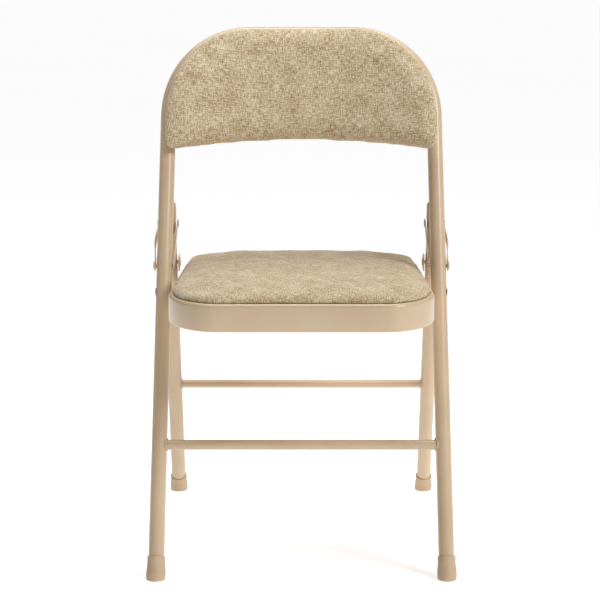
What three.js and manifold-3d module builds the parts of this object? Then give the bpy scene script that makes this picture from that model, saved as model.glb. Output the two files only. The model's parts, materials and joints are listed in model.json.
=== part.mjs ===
// Steel folding chair with an upholstered seat and back.
// Millimetres, +Z up, +X to the sitter's left, the sitter faces -Y. The chair stands open.
import * as THREE from 'three';
import * as BufferGeometryUtils from 'three/addons/utils/BufferGeometryUtils.js';
import Module from 'manifold-3d';

const wasm = await Module();
wasm.setup();

const radians = THREE.MathUtils.degToRad;

// ---------- driving dimensions ----------
const tube = { radius: 11.1, wall: 1.2, sides: 20 };
const gap = 0.3;                       // between pieces that touch
const pinFit = 0.3;                    // hole radius over pin radius
const beyond = 400;                    // reach of a cutting body, past every piece

const front = {
  lean: radians(19.5),                 // backwards, from upright
  footHalf: 204.5,                     // tube axis from the middle, at the floor
  splay: 0.0165,                       // the legs draw together by this much per mm of tube
  archStart: 668,                      // along the tube, where the corner bend starts
  archTop: 800.8,                      // along the tube, axis of the top rail
  crown: 1.4,                          // the top rail rises this much to its middle
  railHalf: 73,                        // half the length of the top rail
  sag: 30,                             // the backrest is hollow by this much
  archSteps: 12,
  railSteps: 4,
};

const crossbars = {
  frontRadius: 7.1,
  frontAt: 189,                        // along the front tube
  rearRadius: 6.35,
  rearAt: 227,                         // along the rear leg
  wall: 1,
  sides: 14,
};

const seat = {
  frontReach: 217.5,                   // pivot to the front edge of the pan
  rearReach: 188.5,                    // pivot to the rear edge
  besideLink: 0.5,                     // front half width inside the inner links' place
  taper: 9.7,                          // the pan draws in by this much from front to rear
  frontCornerAcross: 71.5,
  frontCornerDeep: 100,
  rearCornerAcross: 70,
  rearCornerDeep: 60,
  skirt: 38,
  skirtBelowPivot: 17.5,
  sheet: 1.2,
  edgeRadius: 5,
  cornerShrink: 0.4,                   // share of an inset that the corners lose
};

const hinge = {
  seatPivotAt: 409,                    // along the front tube
  legPivotBehind: 118,                 // rear-leg pivot behind the seat pivot
  standOff: 2 * tube.radius + 2.4,     // folded rear legs lie this far behind the front tube
  linkUpLeg: 72,                       // rear-leg pivot to link pivot, along the rear leg
  pinRadius: 3,
  headRadius: 6,
  headCrown: 4.3,
  headHeight: 1.4,
  thinHead: 1.2,
  flushHead: 0.6,
};

const rearLeg = {
  footBack: 478,                       // leg axis at the floor, behind the front legs
  inside: 5.7,                         // leg axis at the floor, inside the front leg's
  splay: 0.0067,
  topAbovePivot: 103,
};

const link = {
  clear: 1.7,                          // between a link and the tube beside it, to pass the leg cap
  outerWidth: 15,
  outerSheet: 1.6,
  outerBow: 2.6,
  bowSteps: 10,
  innerWidth: 12,
  innerSheet: 1.2,
};

const foot = {
  radius: tube.radius + 2.6,
  sole: tube.radius - 1.2,             // radius at the lower end, which the floor cuts
  bulge: tube.radius + 1.6,
  shoulder: tube.radius + 2.2,
  collar: tube.radius + 1.5,
  floor: 10,                           // solid end under the tube
  bulgeFrom: 4,
  shoulderAt: 15,
  collarAt: 21,
  height: 32,
  belowAxis: 9,
};

const cap = {
  radius: tube.radius + 0.9,
  crown: tube.radius - 0.6,
  length: 22,
  edge: 1.2,
  dome: 4,
  top: 5.6,
};

const backPad = {
  sheet: 1.2,
  edgeInset: 2,                        // cover outline inside the tube axis
  panelInset: 5,
  boardInset: 7,
  foamInset: 3.6,
  lowerCornerAt: 614.5,                // along the tube
  lowerMiddleAt: 638,
  lowerCornerRadius: 12,
  board: 3.2,
  foam: 20,
  cover: 1.2,
};

const seatPad = { inset: 4.5, boardInset: 9, board: 3.2, foam: 14.5, cover: 1.2, edge: 7 };

const screw = { radius: 2.2, headRadius: 4.6, crown: 3.2, head: 2.4, brim: 1 };
const backScrews = { across: 95, lower: 668, upper: 752 };
const seatScrews = { across: 110, front: -120, rear: 110 };

const bracket = {
  sheet: 2,
  halfLength: 26,
  boss: 13,                            // round of the ear about the pivot
  overlap: 12,                         // flange length against the skirt
  belowTop: 3,
  aboveSkirtEdge: 6,
};

// ---------- finishes ----------
const finishes = {
  paint: { color: 0xcdb597, roughness: 0.42, metalness: 0.0 },
  cap: { color: 0xc9ae8e, roughness: 0.6, metalness: 0.0 },
  fabric: { color: 0xccba98, roughness: 0.95, metalness: 0.0 },
  foam: { color: 0xd9cfa8, roughness: 1.0, metalness: 0.0 },
  board: { color: 0x7a5a3c, roughness: 0.8, metalness: 0.0 },
  zinc: { color: 0xb9bab8, roughness: 0.35, metalness: 1.0 },
};

// ---------- derived hinge geometry, as [y, z] points ----------
const along = [Math.sin(front.lean), Math.cos(front.lean)];

function step(point, direction, distance) {
  return [point[0] + direction[0] * distance, point[1] + direction[1] * distance];
}

function span(from, to) {
  return Math.hypot(to[0] - from[0], to[1] - from[1]);
}

const seatPivot = step([0, 0], along, hinge.seatPivotAt);
const legPivot = [seatPivot[0] + hinge.legPivotBehind, seatPivot[1] + hinge.standOff];
const legLean = Math.atan2(rearLeg.footBack - legPivot[0], legPivot[1]);
const upLeg = [-Math.sin(legLean), Math.cos(legLean)];
const legPivotAt = span([rearLeg.footBack, 0], legPivot);
const linkTop = step(legPivot, upLeg, hinge.linkUpLeg);
const linkTopAt = legPivotAt + hinge.linkUpLeg;
const legLength = legPivotAt + rearLeg.topAbovePivot;

// The link keeps its length from open to folded only for one place of its lower pivot.
function lowerLinkPivotAt() {
  const openY = linkTop[0] - seatPivot[0];
  const openZ = linkTop[1] - seatPivot[1];
  const openAlong = openY * along[0] + openZ * along[1];
  const foldedAlong = hinge.linkUpLeg - hinge.legPivotBehind;
  const openSquare = openY ** 2 + openZ ** 2;
  const foldedSquare = foldedAlong ** 2 + hinge.standOff ** 2;
  return hinge.seatPivotAt + (openSquare - foldedSquare) / (2 * (openAlong - foldedAlong));
}

const linkPivotAt = lowerLinkPivotAt();
const linkPivot = step([0, 0], along, linkPivotAt);
const linkLength = span(linkPivot, linkTop);
const linkAngle = Math.atan2(linkTop[0] - linkPivot[0], linkTop[1] - linkPivot[1]);

const frontHalfAt = (distance) => front.footHalf - front.splay * distance;
const rearHalfAt = (distance) => front.footHalf - rearLeg.inside - rearLeg.splay * distance;

const panTop = seatPivot[1] + seat.skirt - seat.skirtBelowPivot;
const linkPlace = frontHalfAt(hinge.seatPivotAt) - tube.radius - link.clear - link.innerSheet;
const panHalf = linkPlace - seat.besideLink;
const panRearHalf = panHalf - seat.taper;

// ---------- solids ----------
function toSolid(geometry) {
  const bare = geometry.clone();
  bare.deleteAttribute('normal');
  bare.deleteAttribute('uv');
  const merged = BufferGeometryUtils.mergeVertices(bare, 1e-4);
  const vertProperties = new Float32Array(merged.attributes.position.array);
  const triVerts = new Uint32Array(merged.index.array);
  return new wasm.Manifold(new wasm.Mesh({ numProp: 3, vertProperties, triVerts }));
}

function toGeometry(solid) {
  const mesh = solid.getMesh();
  const geometry = new THREE.BufferGeometry();
  geometry.setAttribute('position', new THREE.BufferAttribute(mesh.vertProperties, 3));
  geometry.setIndex(new THREE.BufferAttribute(mesh.triVerts, 1));
  geometry.computeVertexNormals();
  return geometry;
}

function piece(name, finish, shape) {
  const geometry = shape.isBufferGeometry ? shape : toGeometry(shape);
  const mesh = new THREE.Mesh(geometry, new THREE.MeshStandardMaterial(finish));
  mesh.name = name;
  return mesh;
}

function boxBetween(low, high) {
  const size = high.map((value, axis) => value - low[axis]);
  const geometry = new THREE.BoxGeometry(...size);
  geometry.translate(low[0] + size[0] / 2, low[1] + size[1] / 2, low[2] + size[2] / 2);
  return toSolid(geometry);
}

function crossPin(radius, fromX, toX, y, z, sides = 16) {
  const geometry = new THREE.CylinderGeometry(radius, radius, Math.abs(toX - fromX), sides);
  geometry.rotateZ(Math.PI / 2);
  geometry.translate((fromX + toX) / 2, y, z);
  return toSolid(geometry);
}

function turned(profile, sides) {
  const points = profile.map(([radius, height]) => new THREE.Vector2(radius, height));
  const geometry = new THREE.LatheGeometry(points, sides);
  geometry.rotateX(Math.PI / 2);
  return geometry;
}

function circle(radius, sides) {
  const points = [];
  for (let index = 0; index < sides; index += 1) {
    const angle = (index / sides) * 2 * Math.PI;
    points.push(new THREE.Vector2(radius * Math.cos(angle), radius * Math.sin(angle)));
  }
  return points;
}

// A path whose stations stay where they are given, so straight lengths need no extra steps.
class StationPath extends THREE.Curve {
  constructor(stations) {
    super();
    this.stations = stations;
  }

  getPoint(fraction, target = new THREE.Vector3()) {
    const place = THREE.MathUtils.clamp(fraction, 0, 1) * (this.stations.length - 1);
    const index = Math.min(Math.floor(place), this.stations.length - 2);
    return target.lerpVectors(this.stations[index], this.stations[index + 1], place - index);
  }

  getUtoTmapping(fraction) {
    return fraction;
  }
}

function sweep(stations, radius, innerRadius, sides) {
  const section = new THREE.Shape(circle(radius, sides));
  if (innerRadius > 0) section.holes.push(new THREE.Path(circle(innerRadius, sides)));
  return new THREE.ExtrudeGeometry(section, {
    steps: stations.length - 1,
    extrudePath: new StationPath(stations),
  });
}

// ---------- front frame, in its leaning plane: x across, y behind the plane, z along the tube ----------
function sagAt(x) {
  const half = frontHalfAt(front.archStart);
  return Math.max(0, front.sag * (1 - (x / half) ** 2));
}

// Half of the arch from the right side tube to the middle, drawn smaller by an inset.
function halfArch(inset) {
  const side = frontHalfAt(front.archStart) - inset;
  const top = front.archTop - inset;
  const shoulder = top - front.crown;
  const rise = shoulder - front.archStart;
  const across = side - front.railHalf;
  const roundness = 0.5523;
  const corner = new THREE.CubicBezierCurve(
    new THREE.Vector2(side, front.archStart),
    new THREE.Vector2(side - front.splay * rise * roundness, front.archStart + rise * roundness),
    new THREE.Vector2(front.railHalf + across * roundness, shoulder - front.crown),
    new THREE.Vector2(front.railHalf, shoulder),
  );
  const rail = new THREE.QuadraticBezierCurve(
    new THREE.Vector2(front.railHalf, shoulder),
    new THREE.Vector2(front.railHalf / 2, top),
    new THREE.Vector2(0, top),
  );
  return [...corner.getPoints(front.archSteps), ...rail.getPoints(front.railSteps).slice(1)];
}

function mirrored(points) {
  const left = points.filter((point) => point.x > 0);
  return [...points, ...left.reverse().map((point) => new THREE.Vector2(-point.x, point.y))];
}

const tubeEnd = foot.floor + gap;

function frontTube() {
  const arch = mirrored(halfArch(0));
  const sideStops = [tubeEnd, crossbars.frontAt, hinge.seatPivotAt, linkPivotAt];
  const right = sideStops.map((stop) => new THREE.Vector3(frontHalfAt(stop), 0, stop));
  const bend = arch.map((point) => new THREE.Vector3(point.x, sagAt(point.x), point.y));
  const left = right.map((point) => new THREE.Vector3(-point.x, 0, point.z)).reverse();
  const path = [...right, ...bend, ...left];
  let solid = toSolid(sweep(path, tube.radius, tube.radius - tube.wall, tube.sides));
  for (const side of [1, -1]) {
    for (const stop of [hinge.seatPivotAt, linkPivotAt]) {
      const middle = side * frontHalfAt(stop);
      const reach = tube.radius + 2;
      const hole = crossPin(hinge.pinRadius + pinFit, middle - reach, middle + reach, 0, stop);
      solid = solid.subtract(hole);
    }
  }
  return solid;
}

function straightTube(half, radius, wall, z, sides) {
  const stations = [new THREE.Vector3(-half, 0, z), new THREE.Vector3(half, 0, z)];
  return toSolid(sweep(stations, radius, radius - wall, sides));
}

// A crossbar whose ends are shaped to the legs that it is welded to.
function crossbar(halfAt, stop, radius) {
  const half = halfAt(stop);
  let solid = straightTube(half, radius, crossbars.wall, stop, crossbars.sides);
  for (const side of [1, -1]) {
    const reach = 3 * radius;
    const low = new THREE.Vector3(side * halfAt(stop - reach), 0, stop - reach);
    const high = new THREE.Vector3(side * halfAt(stop + reach), 0, stop + reach);
    solid = solid.subtract(toSolid(sweep([low, high], tube.radius + gap, 0, tube.sides)));
  }
  return solid;
}

function lowerEdgeAt(x, side) {
  const rise = backPad.lowerMiddleAt - backPad.lowerCornerAt;
  return backPad.lowerCornerAt + rise * (1 - (x / side) ** 2);
}

// Outline of the backrest, with its lower edge arched upwards and its lower corners rounded.
function backOutline(inset) {
  const side = frontHalfAt(front.archStart) - inset;
  const cornerX = side - backPad.lowerCornerRadius;
  const steps = 10;
  const lower = [];
  for (let index = 0; index <= steps; index += 1) {
    const x = -cornerX + (2 * cornerX * index) / steps;
    lower.push(new THREE.Vector2(x, lowerEdgeAt(x, side) + inset));
  }
  const cornerZ = lower[0].y + backPad.lowerCornerRadius;
  const round = backPad.lowerCornerRadius * (1 - Math.SQRT1_2);
  const rightRound = [
    new THREE.Vector2(side - round, cornerZ - backPad.lowerCornerRadius + round),
    new THREE.Vector2(side, cornerZ),
  ];
  const leftRound = rightRound.map((point) => new THREE.Vector2(-point.x, point.y)).reverse();
  return new THREE.Shape([...lower, ...rightRound, ...mirrored(halfArch(inset)), ...leftRound]);
}

// A slab between two depths behind the tube plane, curved like the backrest and cut to an outline.
function backSlab(inset, nearDepth, farDepth) {
  const half = frontHalfAt(front.archStart) + 5;
  const steps = 16;
  const near = [];
  const far = [];
  for (let index = 0; index <= steps; index += 1) {
    const x = -half + (2 * half * index) / steps;
    near.push(new THREE.Vector2(x, nearDepth + sagAt(x)));
    far.unshift(new THREE.Vector2(x, farDepth + sagAt(x)));
  }
  const plan = new THREE.Shape([...near, ...far]);
  const curved = new THREE.ExtrudeGeometry(plan, { depth: front.archTop, bevelEnabled: false });
  const through = { depth: 2 * beyond, bevelEnabled: false };
  const outline = new THREE.ExtrudeGeometry(backOutline(inset), through);
  outline.rotateX(Math.PI / 2);
  outline.translate(0, beyond, 0);
  return toSolid(curved).intersect(toSolid(outline));
}

// The backrest slants most at its sides, where the tube needs more room behind the panel.
const slant = Math.hypot(1, (2 * front.sag) / frontHalfAt(front.archStart));
const panelFront = -((tube.radius + 2 * gap) * slant + backPad.sheet);
const boardFront = panelFront - gap - backPad.board;
const foamFront = boardFront - gap - backPad.foam;
const coverFront = foamFront - gap - backPad.cover;
const backScrewPlaces = [-1, 1].flatMap((side) => [backScrews.lower, backScrews.upper].map(
  (height) => [side * backScrews.across, height],
));

function backHole(x, height) {
  const geometry = new THREE.CylinderGeometry(screw.radius + pinFit, screw.radius + pinFit, 12, 12);
  geometry.translate(x, panelFront + sagAt(x), height);
  return toSolid(geometry);
}

function withBackHoles(slab) {
  return backScrewPlaces.reduce((solid, [x, height]) => solid.subtract(backHole(x, height)), slab);
}

function backBoard() {
  return withBackHoles(backSlab(backPad.boardInset, boardFront, panelFront - gap));
}

function backPanel() {
  return withBackHoles(backSlab(backPad.panelInset, panelFront, panelFront + backPad.sheet));
}

function backFoam() {
  return backSlab(backPad.foamInset, foamFront, boardFront - gap);
}

// The cover is a skin over the front and the rim of the foam, open at the back.
function backCover() {
  const skin = backSlab(backPad.edgeInset, coverFront, panelFront - gap);
  const room = backSlab(backPad.foamInset - gap, foamFront - gap, panelFront + 5);
  return skin.subtract(room);
}

// A pan-head screw: its head hangs below height 0 and its shank stands above.
function screwShape(length) {
  const profile = [
    [0, -screw.head],
    [screw.crown, -screw.head],
    [screw.headRadius, -screw.brim],
    [screw.headRadius, 0],
    [screw.radius, 0],
    [screw.radius, length],
    [0, length],
  ];
  return turned(profile, 12);
}

function backScrewPieces() {
  return backScrewPlaces.map(([x, height], index) => {
    const shape = screwShape(backPad.sheet + backPad.board);
    const mesh = piece(`back_screw_${index + 1}`, finishes.zinc, shape);
    mesh.rotation.x = Math.PI / 2;
    mesh.position.set(x, panelFront + backPad.sheet + sagAt(x) + 2 * gap, height);
    return mesh;
  });
}

// ---------- feet and caps ----------
function footShape() {
  return turned([
    [0, -foot.belowAxis],
    [foot.sole, -foot.belowAxis],
    [foot.bulge, -foot.belowAxis / 3],
    [foot.radius, foot.bulgeFrom],
    [foot.radius, foot.floor],
    [foot.shoulder, foot.shoulderAt],
    [foot.collar, foot.collarAt],
    [foot.collar, foot.height],
    [tube.radius + gap, foot.height],
    [tube.radius + gap, foot.floor],
    [0, foot.floor],
  ], tube.sides);
}

// A foot on a leg that leans by an angle, cut flat at the floor.
function footOnFloor(lean, side, half, splay, back) {
  const geometry = footShape();
  geometry.rotateY(-side * Math.atan(splay));
  geometry.rotateX(-lean);
  geometry.translate(side * half, back, 0);
  const reach = 3 * foot.radius;
  const low = [side * half - reach, back - reach, -reach];
  const high = [side * half + reach, back + reach, 0];
  return toSolid(geometry).subtract(boxBetween(low, high));
}

function capShape() {
  const bore = tube.radius + gap;
  return turned([
    [bore, -cap.length],
    [cap.radius, -cap.length],
    [cap.radius, cap.edge],
    [cap.crown, cap.dome],
    [0, cap.top],
    [0, gap],
    [bore, gap],
    [bore, -cap.length],
  ], tube.sides);
}

// ---------- rivets, spacers and links ----------
// A rivet from its inner head to its outer head; fromX is nearer to the middle of the chair.
function rivet(side, fromX, toX, y, z, innerHead, outerHead) {
  const ends = [[fromX, -innerHead], [toX, outerHead]].filter(([, height]) => height !== 0);
  let solid = crossPin(hinge.pinRadius, side * fromX, side * toX, y, z);
  for (const [x, height] of ends) {
    const radii = [hinge.headCrown, hinge.headRadius];
    const geometry = new THREE.CylinderGeometry(...radii, Math.abs(height), 16);
    geometry.rotateZ(-side * Math.sign(height) * Math.PI / 2);
    geometry.translate(side * (x + height / 2), y, z);
    solid = solid.add(toSolid(geometry));
  }
  return solid;
}

// A strap along z from its lower pivot at the origin. offsetAt(z) is its face nearest the middle.
function strap(side, width, sheet, offsetAt, steps) {
  const end = width / 2;
  const inner = [];
  const outer = [];
  for (let index = 0; index <= steps; index += 1) {
    const z = -end + ((linkLength + width) * index) / steps;
    inner.push(new THREE.Vector2(side * offsetAt(z), z));
    outer.unshift(new THREE.Vector2(side * (offsetAt(z) + sheet), z));
  }
  const profile = new THREE.Shape([...inner, ...outer]);
  const bar = new THREE.ExtrudeGeometry(profile, { depth: width + 2, bevelEnabled: false });
  bar.rotateX(Math.PI / 2);
  bar.translate(0, end + 1, 0);
  const outline = new THREE.Shape();
  outline.absarc(0, 0, end, Math.PI, 2 * Math.PI, false);
  outline.absarc(0, linkLength, end, 0, Math.PI, false);
  const through = { depth: 2 * beyond, bevelEnabled: false, curveSegments: link.bowSteps };
  const plate = new THREE.ExtrudeGeometry(outline, through);
  plate.applyMatrix4(new THREE.Matrix4().makeBasis(
    new THREE.Vector3(0, 1, 0),
    new THREE.Vector3(0, 0, 1),
    new THREE.Vector3(1, 0, 0),
  ));
  plate.translate(-beyond, 0, 0);
  let solid = toSolid(bar).intersect(toSolid(plate));
  for (const z of [0, linkLength]) {
    solid = solid.subtract(crossPin(hinge.pinRadius + pinFit, -beyond, beyond, 0, z));
  }
  return solid;
}

const frontFaceAtLink = frontHalfAt(linkPivotAt);
const rearFaceAtLink = rearHalfAt(linkTopAt);

// The outer link stands away from the tube between its flat ends, to pass over the seat rivet.
function outerLinkAt(z) {
  const share = THREE.MathUtils.clamp(z / linkLength, 0, 1);
  const straight = THREE.MathUtils.lerp(frontFaceAtLink, rearFaceAtLink, share);
  const flat = link.outerWidth / 2;
  const bowShare = THREE.MathUtils.clamp((z - flat) / (linkLength - 2 * flat), 0, 1);
  return straight + tube.radius + link.clear + link.outerBow * Math.sin(Math.PI * bowShare) ** 2;
}

function innerLinkAt(z) {
  const share = THREE.MathUtils.clamp(z / linkLength, 0, 1);
  const straight = THREE.MathUtils.lerp(frontFaceAtLink, rearFaceAtLink, share);
  return straight - tube.radius - link.clear - link.innerSheet;
}

// ---------- seat, with z up from the top of the pan and y behind the seat pivot ----------
function seatOutline(inset) {
  const frontY = -seat.frontReach + inset;
  const rearY = seat.rearReach - inset;
  const frontHalf = panHalf - inset;
  const rearHalf = panRearHalf - inset;
  const lost = inset * seat.cornerShrink;
  const frontAcross = seat.frontCornerAcross - lost;
  const frontDeep = seat.frontCornerDeep - lost;
  const rearAcross = seat.rearCornerAcross - lost;
  const rearDeep = seat.rearCornerDeep - lost;
  const steps = 9;
  const right = [];
  for (let index = 0; index <= steps; index += 1) {
    const angle = (index / steps) * (Math.PI / 2);
    right.push(new THREE.Vector2(
      frontHalf - frontAcross * (1 - Math.sin(angle)),
      frontY + frontDeep * (1 - Math.cos(angle)),
    ));
  }
  for (let index = 0; index <= steps; index += 1) {
    const angle = (index / steps) * (Math.PI / 2);
    right.push(new THREE.Vector2(
      rearHalf - rearAcross * (1 - Math.cos(angle)),
      rearY - rearDeep * (1 - Math.sin(angle)),
    ));
  }
  const left = right.map((point) => new THREE.Vector2(-point.x, point.y)).reverse();
  return new THREE.Shape([...right, ...left]);
}

function seatSlab(inset, low, high, edge = 0) {
  const settings = { depth: high - low, bevelEnabled: false };
  if (edge === 0) {
    const plain = new THREE.ExtrudeGeometry(seatOutline(inset), settings);
    plain.translate(0, 0, low);
    return toSolid(plain);
  }
  const rounded = new THREE.ExtrudeGeometry(seatOutline(inset + edge), {
    depth: high - low,
    bevelEnabled: true,
    bevelSize: edge,
    bevelThickness: edge,
    bevelSegments: 3,
  });
  rounded.translate(0, 0, low - edge);
  const below = boxBetween([-beyond, -beyond, low - 2 * edge - 1], [beyond, beyond, low]);
  return toSolid(rounded).subtract(below);
}

const seatScrewPlaces = [-1, 1].flatMap((side) => [seatScrews.front, seatScrews.rear].map(
  (y) => [side * seatScrews.across, y],
));

function upright(radius, x, y, low, high) {
  const geometry = new THREE.CylinderGeometry(radius, radius, high - low, 12);
  geometry.rotateX(Math.PI / 2);
  geometry.translate(x, y, (low + high) / 2);
  return toSolid(geometry);
}

function withSeatHoles(slab) {
  const reach = seat.sheet + seatPad.board + 3;
  return seatScrewPlaces.reduce(
    (solid, [x, y]) => solid.subtract(upright(screw.radius + pinFit, x, y, -reach, reach)),
    slab,
  );
}

const pivotHeight = seatPivot[1] - panTop;

function seatPan() {
  const outer = seatSlab(0, -seat.skirt, 0, seat.edgeRadius);
  const room = seatSlab(seat.sheet, -seat.skirt - 2, -seat.sheet, seat.edgeRadius - seat.sheet);
  const pins = crossPin(hinge.pinRadius + pinFit, -beyond, beyond, 0, pivotHeight);
  return withSeatHoles(outer.subtract(room)).subtract(pins);
}

function seatBoard() {
  return withSeatHoles(seatSlab(seatPad.boardInset, gap, gap + seatPad.board));
}

const foamLow = 2 * gap + seatPad.board;
const foamHigh = foamLow + seatPad.foam;

function seatFoam() {
  const inset = seatPad.inset + seatPad.cover + gap;
  return seatSlab(inset, foamLow, foamHigh, seatPad.edge);
}

function seatCover() {
  const skinTop = foamHigh + gap + seatPad.cover;
  const skin = seatSlab(seatPad.inset, gap, skinTop, seatPad.edge);
  const inset = seatPad.inset + seatPad.cover;
  const room = seatSlab(inset, -gap, foamHigh + gap, seatPad.edge);
  return skin.subtract(room);
}

function panHalfAt(y) {
  const frontY = -seat.frontReach + seat.frontCornerDeep;
  const rearY = seat.rearReach - seat.rearCornerDeep;
  const share = (y - frontY) / (rearY - frontY);
  return THREE.MathUtils.lerp(panHalf, panRearHalf, share);
}

// The ear: a flange on the skirt, a web outwards and an upright plate beside the rear leg.
function seatBracket(side) {
  const y = hinge.legPivotBehind;
  const z = pivotHeight + hinge.standOff;
  const plateOuter = rearHalfAt(legPivotAt) - tube.radius - link.clear;
  const plateInner = plateOuter - bracket.sheet;
  const low = -seat.skirt + bracket.aboveSkirtEdge;
  const high = -bracket.belowTop - seat.edgeRadius;
  const nearY = y - bracket.halfLength;
  const skirtFace = panHalfAt(nearY - bracket.overlap) + gap;
  const ordered = (...places) => places.map((place) => side * place).sort((a, b) => a - b);
  const [plateLowX, plateHighX] = ordered(plateInner, plateOuter);
  const [webLowX, webHighX] = ordered(skirtFace, plateOuter);
  const [flangeLowX, flangeHighX] = ordered(skirtFace, skirtFace + bracket.sheet);
  const plate = boxBetween([plateLowX, nearY, low], [plateHighX, y + bracket.boss, high]);
  const web = boxBetween([webLowX, nearY, low], [webHighX, nearY + bracket.sheet, high]);
  const flange = boxBetween([flangeLowX, nearY - bracket.overlap, low], [flangeHighX, nearY + 1, high]);
  const ear = crossPin(bracket.boss, plateLowX, plateHighX, y, z, 24);
  const neck = boxBetween([plateLowX, y - bracket.boss, high - 1], [plateHighX, y + bracket.boss, z]);
  const hole = crossPin(hinge.pinRadius + pinFit, plateLowX - 5, plateHighX + 5, y, z);
  return plate.add(web).add(flange).add(ear).add(neck).subtract(hole);
}

// ---------- rear legs, in their leaning plane: z along the leg from the floor ----------
function rearLegTube(side) {
  const stations = [tubeEnd, legLength].map(
    (stop) => new THREE.Vector3(side * rearHalfAt(stop), 0, stop),
  );
  const solid = toSolid(sweep(stations, tube.radius, tube.radius - tube.wall, tube.sides));
  const middle = side * rearHalfAt(legPivotAt);
  const reach = tube.radius + 2;
  return solid.subtract(crossPin(hinge.pinRadius + pinFit, middle - reach, middle + reach, 0, legPivotAt));
}

// ---------- assembly ----------
const frame = new THREE.Group();
frame.rotation.x = -front.lean;
frame.add(
  piece('front_tube', finishes.paint, frontTube()),
  piece('front_crossbar', finishes.paint, crossbar(frontHalfAt, crossbars.frontAt, crossbars.frontRadius)),
  piece('back_panel', finishes.paint, backPanel()),
  piece('back_board', finishes.board, backBoard()),
  piece('back_foam', finishes.foam, backFoam()),
  piece('back_cover', finishes.fabric, backCover()),
  ...backScrewPieces(),
);

const seatGroup = new THREE.Group();
seatGroup.position.set(0, seatPivot[0], panTop);
seatGroup.add(
  piece('seat_pan', finishes.paint, seatPan()),
  piece('seat_board', finishes.board, seatBoard()),
  piece('seat_foam', finishes.foam, seatFoam()),
  piece('seat_cover', finishes.fabric, seatCover()),
);
seatScrewPlaces.forEach(([x, y], index) => {
  const mesh = piece(`seat_screw_${index + 1}`, finishes.zinc, screwShape(seat.sheet + seatPad.board));
  mesh.position.set(x, y, -seat.sheet - gap);
  seatGroup.add(mesh);
});

const rearGroup = new THREE.Group();
rearGroup.position.set(0, rearLeg.footBack, 0);
rearGroup.rotation.x = legLean;
rearGroup.add(
  piece('rear_crossbar', finishes.paint, crossbar(rearHalfAt, crossbars.rearAt, crossbars.rearRadius)),
);

const linkGroup = new THREE.Group();
linkGroup.position.set(0, linkPivot[0], linkPivot[1]);
linkGroup.rotation.x = -linkAngle;

const feet = new THREE.Group();

for (const [side, hand] of [[1, 'left'], [-1, 'right']]) {
  const frontRim = (distance, way) => frontHalfAt(distance) + way * tube.radius;

  const linkInner = innerLinkAt(0) - gap;
  const linkOuter = outerLinkAt(0) + link.outerSheet + gap;
  frame.add(piece(`link_rivet_${hand}`, finishes.paint,
    rivet(side, linkInner, linkOuter, 0, linkPivotAt, 0, hinge.headHeight)));

  const pivotInner = panHalfAt(0) - seat.sheet - gap - hinge.thinHead / 2;
  const pivotOuter = frontRim(hinge.seatPivotAt, 1) + gap;
  frame.add(piece(`seat_rivet_${hand}`, finishes.paint,
    rivet(side, pivotInner, pivotOuter, 0, hinge.seatPivotAt, hinge.thinHead, hinge.flushHead)));

  const spacerFrom = side * (panHalfAt(-hinge.headRadius) + gap);
  const spacerTo = side * (innerLinkAt(linkLength) - 2 * gap);
  const sleeve = crossPin(hinge.headRadius, spacerFrom, spacerTo, 0, hinge.seatPivotAt);
  const bore = crossPin(hinge.pinRadius + pinFit, spacerFrom - side, spacerTo + side, 0, hinge.seatPivotAt);
  frame.add(piece(`seat_spacer_${hand}`, finishes.zinc, sleeve.subtract(bore)));

  seatGroup.add(piece(`seat_bracket_${hand}`, finishes.paint, seatBracket(side)));
  const legMiddle = rearHalfAt(legPivotAt);
  const earInner = legMiddle - tube.radius - link.clear - bracket.sheet - gap;
  const legOuter = legMiddle + tube.radius + gap;
  seatGroup.add(piece(`leg_rivet_${hand}`, finishes.paint, rivet(side, earInner, legOuter,
    hinge.legPivotBehind, pivotHeight + hinge.standOff, hinge.thinHead, hinge.headHeight)));

  rearGroup.add(piece(`rear_leg_${hand}`, finishes.paint, rearLegTube(side)));
  const sleeveCap = piece(`rear_cap_${hand}`, finishes.cap, capShape());
  sleeveCap.position.set(side * rearHalfAt(legLength), 0, legLength);
  sleeveCap.rotation.y = -side * Math.atan(rearLeg.splay);
  rearGroup.add(sleeveCap);

  linkGroup.add(
    piece(`link_outer_${hand}`, finishes.paint,
      strap(side, link.outerWidth, link.outerSheet, outerLinkAt, link.bowSteps)),
    piece(`link_inner_${hand}`, finishes.paint,
      strap(side, link.innerWidth, link.innerSheet, innerLinkAt, 1)),
  );
  const outerFace = outerLinkAt(linkLength);
  const innerFace = innerLinkAt(linkLength) + link.innerSheet;
  const headOuter = rivet(side, outerFace + gap, outerFace + link.outerSheet + gap, 0, linkLength,
    0, hinge.headHeight);
  const headInner = rivet(side, innerFace - link.innerSheet - gap, innerFace - gap, 0, linkLength,
    hinge.thinHead, 0);
  linkGroup.add(
    piece(`link_head_outer_${hand}`, finishes.paint, headOuter),
    piece(`link_head_inner_${hand}`, finishes.paint, headInner),
  );

  feet.add(
    piece(`front_foot_${hand}`, finishes.cap,
      footOnFloor(front.lean, side, front.footHalf, front.splay, 0)),
    piece(`rear_foot_${hand}`, finishes.cap,
      footOnFloor(-legLean, side, rearHalfAt(0), rearLeg.splay, rearLeg.footBack)),
  );
}

const chair = new THREE.Group();
chair.add(frame, seatGroup, rearGroup, linkGroup, feet);
chair.updateMatrixWorld(true);

// The origin is on the floor, under the middle of the chair's box.
const box = new THREE.Box3().setFromObject(chair, true);
chair.position.y = -(box.min.y + box.max.y) / 2;

export default chair;
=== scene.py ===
"""Steel folding chair with an upholstered seat and back, modelled round its CAD frame.

Metres, +Z up, +X to the sitter's left; the sitter faces -Y.
"""
import json
import math

import bpy
from mathutils import Matrix, Vector, noise


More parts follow.
